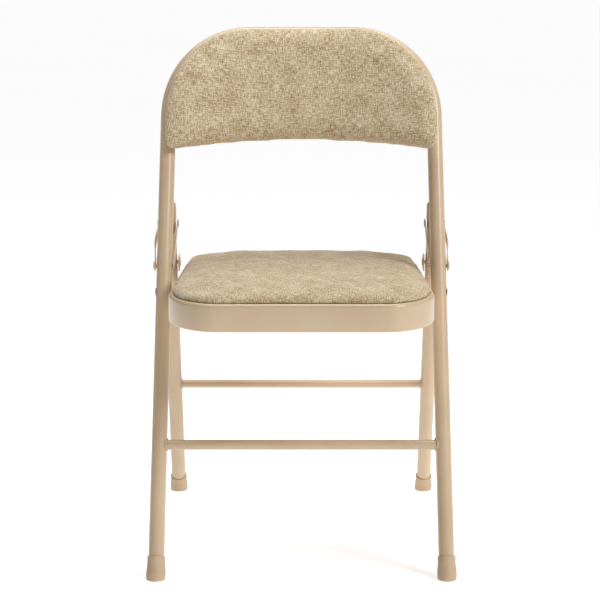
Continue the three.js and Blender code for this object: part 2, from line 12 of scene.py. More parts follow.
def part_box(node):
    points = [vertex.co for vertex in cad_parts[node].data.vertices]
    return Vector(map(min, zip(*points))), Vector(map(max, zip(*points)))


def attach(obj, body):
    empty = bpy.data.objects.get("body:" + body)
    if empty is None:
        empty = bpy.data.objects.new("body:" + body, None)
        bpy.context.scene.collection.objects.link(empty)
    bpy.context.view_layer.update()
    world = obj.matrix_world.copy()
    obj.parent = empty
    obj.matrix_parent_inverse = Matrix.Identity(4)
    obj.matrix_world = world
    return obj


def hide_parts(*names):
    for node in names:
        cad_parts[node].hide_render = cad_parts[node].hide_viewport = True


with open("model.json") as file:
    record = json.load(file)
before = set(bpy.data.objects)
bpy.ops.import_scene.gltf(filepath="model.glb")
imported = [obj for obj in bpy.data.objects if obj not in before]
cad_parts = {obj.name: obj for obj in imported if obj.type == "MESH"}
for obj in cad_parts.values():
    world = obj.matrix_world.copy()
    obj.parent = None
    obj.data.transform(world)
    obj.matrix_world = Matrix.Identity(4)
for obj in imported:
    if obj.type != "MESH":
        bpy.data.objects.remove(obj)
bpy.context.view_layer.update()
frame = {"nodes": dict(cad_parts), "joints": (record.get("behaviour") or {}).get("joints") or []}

PIVOTS = {joint["name"]: Vector(joint["pos_m"]) for joint in frame["joints"]}
SEAT_PIVOT = PIVOTS["seat_fold"]
LEG_PIVOT = PIVOTS["rear_leg_fold"]
LINK_PIVOT = PIVOTS["link_left_fold"]

# ---------- driving dimensions ----------
GAP = 0.0003
TUBE_RADIUS = 0.0111

FRONT_LEAN = math.radians(19.5)
SEAT_PIVOT_AT = 0.409            # along the front tube from the floor
FRONT_FOOT_HALF = 0.2045         # tube axis from the middle, at the floor
FRONT_SPLAY = 0.0165
ARCH_START = 0.668               # along the tube, where the corner bend starts
ARCH_TOP = 0.8008
ARCH_CROWN = 0.0014
RAIL_HALF = 0.073
SAG = 0.030                      # the backrest is hollow by this much

REAR_FOOT_HALF = 0.1988
REAR_SPLAY = 0.0067
REAR_FOOT_BACK = 0.478           # behind the front feet
REAR_TOP_PAST_PIVOT = 0.103
LINK_UP_LEG = 0.072

FRONT_BAR_AT = 0.189
FRONT_BAR_RADIUS = 0.0071
REAR_BAR_AT = 0.227
REAR_BAR_RADIUS = 0.00635

FOOT_FLOOR = 0.010               # solid end of a foot under its tube

PAN_FRONT_REACH = 0.2175         # pivot to the front edge
PAN_REAR_REACH = 0.1885
PAN_BESIDE_LINK = 0.0005         # front half width inside the inner links' place
PAN_TAPER = 0.0097
PAN_FRONT_CORNER = (0.0715, 0.100)
PAN_REAR_CORNER = (0.070, 0.060)
PAN_SKIRT = 0.038
PAN_BELOW_PIVOT = 0.0175
PAN_SHEET = 0.0012
PAN_EDGE = 0.005
PAN_HEM = 0.006

PAD_INSET = 0.0030               # seat pad inside the pan's outline
PAD_THICK = 0.0122               # at its edges, before it is blown up
PAD_SUNK = 0.0030                # the sunk part's rounded rim is pressed flat on the pan
PAD_EDGE = 0.0085
PAD_CROWN = 0.0050

EAR_SHEET = 0.002
EAR_HALF_LENGTH = 0.026
EAR_BOSS = 0.013                 # round end about the rear leg's pivot
EAR_OVERLAP = 0.012              # flange on the skirt

BACK_SHEET = 0.0012
BACK_PAD_THICK = 0.0245          # before it is blown up
BACK_PAD_EDGE = 0.009
BACK_PAD_OUTSET = {"side": 0.0038, "top": 0.0048, "lower": 0.0026}
BACK_PANEL_INSET = 0.005
BACK_LOWER_CORNER_AT = 0.6145
BACK_LOWER_MIDDLE_AT = 0.638
BACK_LOWER_CORNER = 0.012

STRAP_CLEAR = 0.0017
STRAP_OUTER = {"width": 0.015, "sheet": 0.0016, "bow": 0.0026}
STRAP_INNER = {"width": 0.012, "sheet": 0.0012, "bow": 0.0}

PIN_RADIUS = 0.003
HEAD_RADIUS = 0.006
HEAD_HEIGHT = 0.0014
THIN_HEAD = 0.0012
FLUSH_HEAD = 0.0006

WELD_BITE = 0.0015               # a bar's end goes this far into its leg
WELD_RADIUS = 0.0015

# ---------- places worked out from the frame ----------
FRONT_FOOT_Y = SEAT_PIVOT.y - SEAT_PIVOT_AT * math.sin(FRONT_LEAN)
REAR_FOOT_Y = FRONT_FOOT_Y + REAR_FOOT_BACK
LEG_LEAN = math.atan2(REAR_FOOT_Y - LEG_PIVOT.y, LEG_PIVOT.z)
LEG_PIVOT_AT = LEG_PIVOT.z / math.cos(LEG_LEAN)
LEG_LENGTH = LEG_PIVOT_AT + REAR_TOP_PAST_PIVOT
LINK_TOP = LEG_PIVOT + LINK_UP_LEG * Vector((0, -math.sin(LEG_LEAN), math.cos(LEG_LEAN)))
LINK_LENGTH = (LINK_TOP - LINK_PIVOT).length
LINK_LEAN = math.atan2(LINK_TOP.y - LINK_PIVOT.y, LINK_TOP.z - LINK_PIVOT.z)
LINK_PIVOT_AT = LINK_PIVOT.z / math.cos(FRONT_LEAN)
PAN_TOP = SEAT_PIVOT.z + PAN_SKIRT - PAN_BELOW_PIVOT

FRONT_PLANE = Matrix.Translation((0, FRONT_FOOT_Y, 0)) @ Matrix.Rotation(-FRONT_LEAN, 4, "X")
REAR_PLANE = Matrix.Translation((0, REAR_FOOT_Y, 0)) @ Matrix.Rotation(LEG_LEAN, 4, "X")
LINK_PLANE = Matrix.Translation(LINK_PIVOT) @ Matrix.Rotation(-LINK_LEAN, 4, "X")
SEAT_PLANE = Matrix.Translation((0, SEAT_PIVOT.y, PAN_TOP))
SIDES = ((1, "left"), (-1, "right"))


def front_half_at(along):
    return FRONT_FOOT_HALF - FRONT_SPLAY * along


def rear_half_at(along):
    return REAR_FOOT_HALF - REAR_SPLAY * along


BACK_HALF = front_half_at(ARCH_START)
LINK_PLACE = front_half_at(SEAT_PIVOT_AT) - TUBE_RADIUS - STRAP_CLEAR - STRAP_INNER["sheet"]
PAN_HALF = LINK_PLACE - PAN_BESIDE_LINK
PAN_REAR_HALF = PAN_HALF - PAN_TAPER
SLANT = math.hypot(1, 2 * SAG / BACK_HALF)
PANEL_FRONT = -((TUBE_RADIUS + 2 * GAP) * SLANT + BACK_SHEET)


def sag_at(x):
    """How far the backrest lies behind the plane of the front legs."""
    return max(0.0, SAG * (1 - (x / BACK_HALF) ** 2))


# ---------- modelling helpers ----------
def deselect():
    if bpy.context.mode != "OBJECT":
        bpy.ops.object.mode_set(mode="OBJECT")
    bpy.ops.object.select_all(action="DESELECT")


def pick(obj):
    """Makes one object the only selected and active one."""
    deselect()
    obj.select_set(True)
    bpy.context.view_layer.objects.active = obj
    return obj


def apply_modifier(obj, kind, **settings):
    pick(obj)
    modifier = obj.modifiers.new(kind.title(), kind)
    for name, value in settings.items():
        setattr(modifier, name, value)
    bpy.ops.object.modifier_apply(modifier=modifier.name)


def place(obj, matrix):
    """Moves a piece to its place and leaves its object at the origin."""
    pick(obj)
    obj.matrix_world = matrix
    bpy.ops.object.transform_apply(location=True, rotation=True, scale=True)
    return obj


def smooth(obj, degrees=35):
    pick(obj)
    bpy.ops.object.shade_smooth_by_angle(angle=math.radians(degrees))
    return obj


def joined(objects):
    pick(objects[0])
    for obj in objects[1:]:
        obj.select_set(True)
    bpy.ops.object.join()
    return bpy.context.object


def finish_piece(obj, name, body, material, slot, *nodes):
    obj.name = name
    obj.data.name = name
    obj.data.materials.clear()
    obj.data.materials.append(material)
    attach(obj, body)
    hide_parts(*nodes)
    return obj


def round_bar(points, radius, closed=False, fineness=9):
    """A round bar along points, with flat ends."""
    deselect()
    bpy.ops.curve.primitive_nurbs_path_add(location=(0, 0, 0))
    obj = bpy.context.object
    obj.data.splines.clear()
    spline = obj.data.splines.new("POLY")
    spline.points.add(len(points) - 1)
    for knot, point in zip(spline.points, points):
        knot.co = (*point, 1)
    spline.use_cyclic_u = closed
    obj.data.bevel_depth = radius
    obj.data.bevel_resolution = fineness
    obj.data.use_fill_caps = not closed
    bpy.ops.object.convert(target="MESH")
    return bpy.context.object


def turned(profile, sides=40):
    """A solid turned about +Z from (radius, height) pairs, closed at both ends."""
    (radius, height), *rest = profile
    deselect()
    bpy.ops.mesh.primitive_circle_add(
        vertices=sides, radius=radius, fill_type="NGON", location=(0, 0, height)
    )
    bpy.ops.object.transform_apply(location=True, rotation=True, scale=True)
    bpy.ops.object.mode_set(mode="EDIT")
    for next_radius, next_height in rest:
        bpy.ops.mesh.extrude_region_move(
            TRANSFORM_OT_translate={"value": (0, 0, next_height - height)}
        )
        share = next_radius / radius
        bpy.ops.transform.resize(value=(share, share, 1))
        radius, height = next_radius, next_height
    bpy.ops.mesh.select_all(action="SELECT")
    bpy.ops.mesh.normals_make_consistent(inside=False)
    bpy.ops.object.mode_set(mode="OBJECT")
    return bpy.context.object


def flat_outline(points):
    """A flat face with the given outline, in the XY plane."""
    deselect()
    bpy.ops.mesh.primitive_circle_add(vertices=len(points), radius=1, fill_type="NGON")
    obj = bpy.context.object
    for vertex, point in zip(obj.data.vertices, points):
        vertex.co = (point[0], point[1], 0)
    bpy.ops.object.mode_set(mode="EDIT")
    bpy.ops.mesh.normals_make_consistent(inside=False)
    bpy.ops.object.mode_set(mode="OBJECT")
    if obj.data.polygons[0].normal.z < 0:
        obj.data.flip_normals()
    return obj


def raised(obj, height):
    """Extrudes a flat face up into a closed solid."""
    pick(obj)
    bpy.ops.object.mode_set(mode="EDIT")
    bpy.ops.mesh.select_all(action="SELECT")
    bpy.ops.mesh.extrude_region_move(TRANSFORM_OT_translate={"value": (0, 0, height)})
    bpy.ops.mesh.select_all(action="SELECT")
    bpy.ops.mesh.normals_make_consistent(inside=False)
    bpy.ops.object.mode_set(mode="OBJECT")
    return obj


def crosscut(obj, axis, low, high, cuts):
    """Cuts a mesh across an axis at even steps, so that it can bend."""
    pick(obj)
    bpy.ops.object.mode_set(mode="EDIT")
    normal = [0, 0, 0]
    normal[axis] = 1
    for index in range(cuts + 1):
        point = [0, 0, 0]
        point[axis] = low + (high - low) * index / cuts
        bpy.ops.mesh.select_all(action="SELECT")
        bpy.ops.mesh.bisect(plane_co=point, plane_no=normal)
    bpy.ops.object.mode_set(mode="OBJECT")
    return obj


def select_where(obj, test, kind="polygons"):
    """Selects, in object mode, the faces or edges whose middle and normal pass a test."""
    mesh = obj.data
    for group in (mesh.vertices, mesh.edges, mesh.polygons):
        for element in group:
            element.select = False
    if kind == "polygons":
        for face in mesh.polygons:
            face.select = bool(test(face.center, face.normal))
        return
    for edge in mesh.edges:
        ends = [mesh.vertices[index].co for index in edge.vertices]
        edge.select = bool(test(*ends))


# ---------- outlines ----------
def half_arch(inset, top_inset=None, steps=28):
    """The arch from the side tube to the middle, in the plane of the front legs."""
    side = BACK_HALF - inset
    top = ARCH_TOP - (inset if top_inset is None else top_inset)
    shoulder = top - ARCH_CROWN
    rise = shoulder - ARCH_START
    across = side - RAIL_HALF
    roundness = 0.5523               # of a quarter circle drawn as one cubic curve
    knots = [
        Vector((side, ARCH_START)),
        Vector((side - FRONT_SPLAY * rise * roundness, ARCH_START + rise * roundness)),
        Vector((RAIL_HALF + across * roundness, shoulder - ARCH_CROWN)),
        Vector((RAIL_HALF, shoulder)),
    ]
    points = []
    for index in range(steps + 1):
        t = index / steps
        shares = ((1 - t) ** 3, 3 * t * (1 - t) ** 2, 3 * t * t * (1 - t), t ** 3)
        points.append(sum((share * knot for share, knot in zip(shares, knots)), Vector((0, 0))))
    rail_steps = steps // 3
    for index in range(1, rail_steps + 1):
        t = index / rail_steps
        points.append(Vector((RAIL_HALF * (1 - t), shoulder + ARCH_CROWN * (2 * t - t * t))))
    return points


def mirrored(points):
    """Carries points on the left over to the right, in reverse order."""
    return [Vector((-point.x, point.y)) for point in reversed(points) if point.x > 1e-6]


def back_outline(inset, top_inset=None, lower_inset=None):
    """The backrest's outline, its lower edge arched and its lower corners rounded."""
    lower_inset = inset if lower_inset is None else lower_inset
    side = BACK_HALF - inset
    corner_x = side - BACK_LOWER_CORNER
    rise = BACK_LOWER_MIDDLE_AT - BACK_LOWER_CORNER_AT

    def lower_at(x):
        return BACK_LOWER_CORNER_AT + lower_inset + rise * (1 - (x / side) ** 2)

    steps = 20
    lower = [Vector((corner_x * index / steps, 0)) for index in range(steps + 1)]
    for point in lower:
        point.y = lower_at(point.x)
    centre = Vector((corner_x, lower_at(corner_x) + BACK_LOWER_CORNER))
    turns = 8
    for index in range(1, turns + 1):
        angle = math.pi / 2 * index / turns
        swing = Vector((math.sin(angle), -math.cos(angle)))
        lower.append(centre + BACK_LOWER_CORNER * swing)
    left = lower + half_arch(inset, top_inset)
    return left + mirrored(left[:-1])


def seat_outline(inset, steps=16):
    """The seat's outline about its pivot, its corners quarter ellipses."""
    shrink = 0.4 * inset             # the corners lose less than the sides
    front_y = -PAN_FRONT_REACH + inset
    rear_y = PAN_REAR_REACH - inset
    front_across, front_deep = (size - shrink for size in PAN_FRONT_CORNER)
    rear_across, rear_deep = (size - shrink for size in PAN_REAR_CORNER)
    left = []
    for index in range(steps + 1):
        angle = math.pi / 2 * index / steps
        left.append(Vector((
            PAN_HALF - inset - front_across * (1 - math.sin(angle)),
            front_y + front_deep * (1 - math.cos(angle)),
        )))
    for index in range(steps + 1):
        angle = math.pi / 2 * index / steps
        left.append(Vector((
            PAN_REAR_HALF - inset - rear_across * (1 - math.cos(angle)),
            rear_y - rear_deep * (1 - math.sin(angle)),
        )))
    return left + mirrored(left)


# ---------- materials ----------
def linear(code, alpha=1.0):
    """A linear colour from an sRGB hex value."""
    def channel(value):
        return value / 12.92 if value <= 0.04045 else ((value + 0.055) / 1.055) ** 2.4
    parts = [channel(int(code[index:index + 2], 16) / 255) for index in (1, 3, 5)]
    return (*parts, alpha)


def add_node(material, kind, inputs=None, **settings):
    """Adds a node with its settings; an input is a value or another node's output."""
    tree = material.node_tree
    made = tree.nodes.new(kind)
    for name, value in settings.items():
        setattr(made, name, value)
    for socket, value in (inputs or {}).items():
        if isinstance(value, bpy.types.NodeSocket):
            tree.links.new(value, made.inputs[socket])
        else:
            made.inputs[socket].default_value = value
    return made


def new_material(name):
    material = bpy.data.materials.new(name)
    material.use_nodes = True
    material.node_tree.nodes.clear()
    return material


def close_material(material, shader):
    add_node(material, "ShaderNodeOutputMaterial", {"Surface": shader.outputs[0]})
    return material


def colour_ramp(material, factor, stops):
    ramp = add_node(material, "ShaderNodeValToRGB", {"Fac": factor})
    elements = ramp.color_ramp.elements
    while len(elements) < len(stops):
        elements.new(0.5)
    for element, (position, code) in zip(elements, stops):
        element.position = position
        element.color = linear(code)
    return ramp.outputs["Color"]


def powder_coat():
    """Polyester powder coat, baked on steel: satin, with a faint orange-peel skin."""
    material = new_material("powder_coated_steel")
    place_at = add_node(material, "ShaderNodeTexCoord").outputs["Object"]
    cloud = add_node(
        material, "ShaderNodeTexNoise", {"Vector": place_at, "Scale": 14.0, "Detail": 2.0}
    ).outputs["Fac"]
    colour = colour_ramp(material, cloud, [(0.35, "#CBB294"), (0.65, "#D0B899")])
    peel = add_node(
        material, "ShaderNodeTexNoise", {"Vector": place_at, "Scale": 700.0, "Detail": 1.0}
    ).outputs["Fac"]
    fine = add_node(
        material, "ShaderNodeTexNoise", {"Vector": place_at, "Scale": 190.0, "Detail": 2.0}
    ).outputs["Fac"]
    roughness = add_node(
        material, "ShaderNodeMapRange", {"Value": fine, "To Min": 0.27, "To Max": 0.285}
    ).outputs[0]
    bump = add_node(
        material, "ShaderNodeBump", {"Height": peel, "Strength": 0.03, "Distance": 0.00002}
    ).outputs[0]
    shader = add_node(material, "ShaderNodeBsdfPrincipled", {
        "Base Color": colour, "Roughness": roughness, "Normal": bump, "IOR": 1.5,
    })
    return close_material(material, shader)


def moulded_plastic():
    """Injection-moulded polypropylene: the paint's colour, duller, with a spark-eroded skin."""
    material = new_material("moulded_polypropylene")
    place_at = add_node(material, "ShaderNodeTexCoord").outputs["Object"]
    grain = add_node(
        material, "ShaderNodeTexNoise", {"Vector": place_at, "Scale": 900.0, "Detail": 3.0}
    ).outputs["Fac"]
    cloud = add_node(
        material, "ShaderNodeTexNoise", {"Vector": place_at, "Scale": 60.0, "Detail": 2.0}
    ).outputs["Fac"]
    colour = colour_ramp(material, cloud, [(0.3, "#C3A98A"), (0.7, "#C9B092")])
    roughness = add_node(
        material, "ShaderNodeMapRange", {"Value": cloud, "To Min": 0.50, "To Max": 0.60}
    ).outputs[0]
    bump = add_node(
        material, "ShaderNodeBump", {"Height": grain, "Strength": 0.3, "Distance": 0.00008}
    ).outputs[0]
    shader = add_node(material, "ShaderNodeBsdfPrincipled", {
        "Base Color": colour, "Roughness": roughness, "Normal": bump, "IOR": 1.49,
    })
    return close_material(material, shader)


def zinc_plate():
    """Bright zinc on steel screws and sleeves: grey metal with a slight cloudiness."""
    material = new_material("zinc_plated_steel")
    place_at = add_node(material, "ShaderNodeTexCoord").outputs["Object"]
    cloud = add_node(
        material, "ShaderNodeTexNoise", {"Vector": place_at, "Scale": 400.0, "Detail": 3.0}
    ).outputs["Fac"]
    colour = colour_ramp(material, cloud, [(0.3, "#A9ABAA"), (0.7, "#C4C6C4")])
    roughness = add_node(
        material, "ShaderNodeMapRange", {"Value": cloud, "To Min": 0.28, "To Max": 0.42}
    ).outputs[0]
    shader = add_node(material, "ShaderNodeBsdfPrincipled", {
        "Base Color": colour, "Roughness": roughness, "Metallic": 1.0,
    })
    return close_material(material, shader)


def woven_linen(name, shift):
    """Upholstery linen in plain weave: heathered straw and tan yarns with slubs, no gloss, and
    painted shade in the dips between yarns.
    """
    # Real threads lie about 0.8 mm apart; they are drawn at 1.6 mm so that the weave shows.
    thread = 0.0016
    material = new_material(name)
    flat = add_node(material, "ShaderNodeUVMap", uv_map="cut").outputs["UV"]
    in_threads = add_node(material, "ShaderNodeMapping", {
        "Vector": flat, "Scale": (1 / thread, 1 / thread, 1.0), "Location": (shift, shift, shift),
    }).outputs["Vector"]
    split = add_node(material, "ShaderNodeSeparateXYZ", {"Vector": in_threads})
    over = add_node(
        material, "ShaderNodeTexChecker", {"Vector": in_threads, "Scale": 1.0}
    ).outputs["Fac"]

    def yarn(scale, seed):
        """Tone along one set of yarns: it changes with each yarn, and slowly along it."""
        stretched = add_node(material, "ShaderNodeMapping", {
            "Vector": in_threads, "Scale": scale, "Location": (seed, seed, 0.0),
        }).outputs["Vector"]
        return add_node(material, "ShaderNodeTexNoise", {
            "Vector": stretched, "Scale": 1.0, "Detail": 1.0, "Roughness": 0.5,
        }).outputs["Fac"]

    warp = yarn((0.95, 0.22, 1.0), 17.0)
    weft = yarn((0.20, 0.95, 1.0), 71.0)
    shown = add_node(material, "ShaderNodeMix", {"Factor": over, "A": warp, "B": weft})
    cloud = add_node(material, "ShaderNodeTexNoise", {
        "Vector": in_threads, "Scale": 0.055, "Detail": 3.0, "Roughness": 0.6,
    }).outputs["Fac"]
    faint = add_node(
        material, "ShaderNodeMath", {0: cloud, 1: 0.34}, operation="MULTIPLY"
    ).outputs[0]
    tone = add_node(
        material, "ShaderNodeMath", {0: faint, 1: shown.outputs[0]}, operation="ADD"
    ).outputs[0]
    colour = colour_ramp(material, tone, [
        (0.50, "#9E8160"), (0.61, "#BEA582"), (0.70, "#CFBC98"), (0.84, "#E8DCC3"),
    ])

    def rounded(coordinate):
        """Height of a yarn across its width."""
        half_turns = add_node(
            material, "ShaderNodeMath", {0: coordinate, 1: math.pi}, operation="MULTIPLY"
        ).outputs[0]
        wave = add_node(material, "ShaderNodeMath", {0: half_turns}, operation="SINE").outputs[0]
        return add_node(material, "ShaderNodeMath", {0: wave}, operation="ABSOLUTE").outputs[0]

    height = add_node(material, "ShaderNodeMix", {
        "Factor": over, "A": rounded(split.outputs["X"]), "B": rounded(split.outputs["Y"]),
    }).outputs[0]
    # Painted shade: the colour is darkened where a yarn dips under its neighbour, standing in for
    # the shade that falls there.
    painted_yarn_shade = add_node(material, "ShaderNodeMapRange", {
        "Value": height, "To Min": 0.72, "To Max": 1.08,
    }).outputs[0]
    colour_with_painted_shade = add_node(
        material, "ShaderNodeVectorMath", {0: colour, 1: painted_yarn_shade}, operation="MULTIPLY"
    )
    bump = add_node(
        material, "ShaderNodeBump", {"Height": height, "Strength": 0.5, "Distance": 0.0004}
    ).outputs[0]
    shader = add_node(material, "ShaderNodeBsdfPrincipled", {
        "Base Color": colour_with_painted_shade.outputs[0], "Roughness": 0.92, "Normal": bump, "IOR": 1.45,
        "Sheen Weight": 0.25, "Sheen Roughness": 0.5, "Specular IOR Level": 0.25,
    })
    return close_material(material, shader)


def studio_paper():
    """Seamless background paper, matt; it glows, and so stays white far from the lamps."""
    material = new_material("background_paper")
    place_at = add_node(material, "ShaderNodeTexCoord").outputs["Object"]
    cloud = add_node(
        material, "ShaderNodeTexNoise", {"Vector": place_at, "Scale": 0.4, "Detail": 1.0}
    ).outputs["Fac"]
    colour = colour_ramp(material, cloud, [(0.0, "#D8D8D8"), (1.0, "#DBDBDB")])
    shader = add_node(material, "ShaderNodeBsdfPrincipled", {
        "Base Color": colour, "Roughness": 1.0, "Specular IOR Level": 0.0,
        "Emission Color": linear("#FFFFFF"), "Emission Strength": 0.66,
    })
    return close_material(material, shader)


PAINT = powder_coat()
PLASTIC = moulded_plastic()
ZINC = zinc_plate()
SEAT_LINEN = woven_linen("linen_of_the_seat", 0.0)
BACK_LINEN = woven_linen("linen_of_the_back", 400.0)


# ---------- tubes and bars ----------
def front_tube():
    """One tube: up from a foot, round the hollowed arch and down to the other foot."""
    start = FOOT_FLOOR + GAP
    arch = half_arch(0)
    sag_points = [(point.x, sag_at(point.x), point.y) for point in arch]
    side = [(front_half_at(along), 0, along) for along in (start, FRONT_BAR_AT, LINK_PIVOT_AT)]
    left = side + sag_points
    right = [(-x, y, z) for x, y, z in reversed(left) if x > 1e-6]
    obj = smooth(place(round_bar(left + right, TUBE_RADIUS, fineness=12), FRONT_PLANE))
    return finish_piece(obj, "front_tube_bent", "front_frame", PAINT, "paint", "front_tube")


def weld_bead(middle, along, bar_radius, side):
    """A weld round the end of a crossbar, following the leg that it meets."""
    steps, ripples = 56, 9
    points = []
    for index in range(steps):
        angle = 2 * math.pi * index / steps
        ring = bar_radius + 0.0007
        across, up = ring * math.cos(angle), ring * math.sin(angle)
        inwards = math.sqrt(TUBE_RADIUS ** 2 - across ** 2)
        ripple = 0.00025 * math.sin(ripples * angle)
        points.append((side * (middle - inwards - ripple), across, along + up))
    return round_bar(points, WELD_RADIUS, closed=True, fineness=3)


def crossbar(name, node, body, half_at, along, radius, plane):
    """A straight bar between two legs, welded to them all round."""
    half = half_at(along)
    reach = half - TUBE_RADIUS + WELD_BITE
    bar = round_bar([(-reach, 0, along), (reach, 0, along)], radius)
    beads = [weld_bead(half, along, radius, side) for side, _ in SIDES]
    obj = smooth(place(joined([bar, *beads]), plane))
    return finish_piece(obj, name, body, PAINT, "paint", node)


def rear_leg(side, hand):
    places = (FOOT_FLOOR + GAP, REAR_BAR_AT, LEG_LENGTH)
    points = [(side * rear_half_at(along), 0, along) for along in places]
    obj = place(round_bar(points, TUBE_RADIUS, fineness=12), REAR_PLANE)
    name = f"rear_leg_tube_{hand}"
    return finish_piece(smooth(obj), name, "rear_legs", PAINT, "paint", f"rear_leg_{hand}")


def rear_cap(side, hand):
    """A moulded sleeve with a domed end, pushed over the top of a rear leg."""
    bore = TUBE_RADIUS + GAP
    profile = [
        (bore, GAP), (bore, -0.0218), (0.0116, -0.0220), (0.0119, -0.0217), (0.0120, -0.0210),
        (0.0120, -0.0060), (0.0120, 0.0006), (0.0118, 0.0021), (0.0111, 0.0034),
        (0.0098, 0.0044), (0.0075, 0.0051), (0.0040, 0.0055), (0.0008, 0.0056),
    ]
    turn = Matrix.Rotation(-side * math.atan(REAR_SPLAY), 4, "Y")
    at_top = Matrix.Translation((side * rear_half_at(LEG_LENGTH), 0, LEG_LENGTH))
    obj = smooth(place(turned(profile), REAR_PLANE @ at_top @ turn), 50)
    return finish_piece(
        obj, f"rear_sleeve_cap_{hand}", "rear_legs", PLASTIC, "cap", f"rear_cap_{hand}"
    )


def foot_tip(side, name, node, body, half, splay, back, lean):
    """A bulbous moulded tip over a leg's end, cut flat where it stands."""
    bore = TUBE_RADIUS + GAP
    profile = [
        (bore, FOOT_FLOOR), (bore, 0.0316), (0.0119, 0.0320), (0.0124, 0.0317),
        (0.0126, 0.0310),
        (0.0126, 0.0220), (0.0129, 0.0180), (0.0133, 0.0145), (0.0137, 0.0100), (0.0137, 0.0050),
        (0.0135, 0.0020), (0.0130, -0.0012), (0.0121, -0.0040), (0.0110, -0.0066),
        (0.0099, -0.0090),
    ]
    obj = turned(profile, sides=48)
    turn = Matrix.Rotation(lean, 4, "X") @ Matrix.Rotation(-side * math.atan(splay), 4, "Y")
    place(obj, Matrix.Translation((side * half, back, 0)) @ turn)
    bpy.ops.object.mode_set(mode="EDIT")
    bpy.ops.mesh.select_all(action="SELECT")
    bpy.ops.mesh.bisect(
        plane_co=(0, 0, 0.0), plane_no=(0, 0, 1), use_fill=True, clear_inner=True
    )
    bpy.ops.mesh.select_all(action="SELECT")
    bpy.ops.mesh.normals_make_consistent(inside=False)
    bpy.ops.object.mode_set(mode="OBJECT")
    apply_modifier(obj, "BEVEL", width=0.0006, segments=2, limit_method="ANGLE")
    return finish_piece(smooth(obj, 45), name, body, PLASTIC, "cap", node)


# ---------- rivets, screws and straps ----------
def across(side, x, y, z):
    """Turns a solid made along +Z to point outwards from the middle of the chair."""
    return Matrix.Translation((side * x, y, z)) @ Matrix.Rotation(side * math.pi / 2, 4, "Y")


def dome(height, base, way):
    """Profile of a rivet head whose flat side is at base; way is +1 or -1 along the pin."""
    rise = [(0.0, 1.0), (0.35, 0.97), (0.65, 0.84), (0.86, 0.58), (0.96, 0.28), (1.0, 0.0)]
    flat = 0.0002                    # radius of the flat on top, which keeps the end face open
    points = [(HEAD_RADIUS * wide + flat, base + way * height * tall) for wide, tall in rise]
    return points if way < 0 else list(reversed(points))


def rivet(side, name, body, plane, low, high, y, z, inner_head, outer_head, *nodes):
    """A tubular rivet with a domed head at one or both ends; low is nearer to the middle."""
    profile = dome(inner_head, 0.0, -1) if inner_head else [(PIN_RADIUS, 0.0)]
    profile += [(PIN_RADIUS, 0.00005), (PIN_RADIUS, high - low - 0.00005)]
    profile += dome(outer_head, high - low, 1) if outer_head else [(PIN_RADIUS, high - low)]
    obj = place(turned(profile, sides=32), plane @ across(side, low, y, z))
    return finish_piece(smooth(obj, 50), name, body, PAINT, "paint", *nodes)


def strap_offset(shape, z, way):
    """Inner face of a link from the middle; it bows away from the tubes between flat ends."""
    share = min(1.0, max(0.0, z / LINK_LENGTH))
    low, high = front_half_at(LINK_PIVOT_AT), rear_half_at(LEG_PIVOT_AT + LINK_UP_LEG)
    straight = low + (high - low) * share
    flat = shape["width"] / 2
    bow = min(1.0, max(0.0, (z - flat) / (LINK_LENGTH - 2 * flat)))
    stand = TUBE_RADIUS + STRAP_CLEAR + (shape["sheet"] if way < 0 else 0)
    return straight + way * stand + shape["bow"] * math.sin(math.pi * bow) ** 2


def strap(side, hand, shape, way, name, node):
    """A link stamped from strip, with round ends and soft edges."""
    end = shape["width"] / 2
    turns = 20
    outline = []
    for index in range(turns + 1):
        angle = math.pi * index / turns
        outline.append((end * math.cos(angle), LINK_LENGTH + end * math.sin(angle)))
    for index in range(turns + 1):
        angle = math.pi + math.pi * index / turns
        outline.append((end * math.cos(angle), end * math.sin(angle)))
    obj = crosscut(flat_outline(outline), 1, 0, LINK_LENGTH, 22)
    for vertex in obj.data.vertices:
        y, z = vertex.co.x, vertex.co.y
        vertex.co = (side * strap_offset(shape, z, way), y, z)
    pick(obj)
    bpy.ops.object.mode_set(mode="EDIT")
    bpy.ops.mesh.select_all(action="SELECT")
    bpy.ops.object.mode_set(mode="OBJECT")
    if obj.data.polygons[0].normal.x * side < 0:
        obj.data.flip_normals()
    apply_modifier(obj, "SOLIDIFY", thickness=shape["sheet"], offset=1.0)
    apply_modifier(obj, "BEVEL", width=0.00045, segments=3, limit_method="ANGLE",
                   angle_limit=math.radians(50))
    place(obj, LINK_PLANE)
    return finish_piece(smooth(obj, 45), name, f"link_{hand}", PAINT, "paint", node)


def screw_solid():
    """A pan-head screw with a cross recess, its head below height 0."""
    profile = [
        (0.0006, -0.00240), (0.0018, -0.00238), (0.0030, -0.00220), (0.0039, -0.00175),
        (0.0044, -0.00115), (0.0046, -0.00050), (0.0046, 0.0), (0.0022, 0.0),
        (0.0022, 0.0042), (0.0016, 0.0046),
    ]
    screw = turned(profile, sides=32)
    bpy.ops.mesh.primitive_cube_add(size=1, location=(0, 0, -0.0022))
    slot_a = bpy.context.object
    slot_a.scale = (0.0046, 0.0009, 0.0024)
    bpy.ops.mesh.primitive_cube_add(size=1, location=(0, 0, -0.0022))
    slot_b = bpy.context.object
    slot_b.scale = (0.0009, 0.0046, 0.0024)
    for cutter in (slot_a, slot_b):
        apply_modifier(screw, "BOOLEAN", operation="DIFFERENCE", object=cutter, solver="EXACT")
        bpy.data.objects.remove(cutter)
    return smooth(screw, 40)


def copied(obj):
    pick(obj)
    bpy.ops.object.duplicate()
    return bpy.context.object


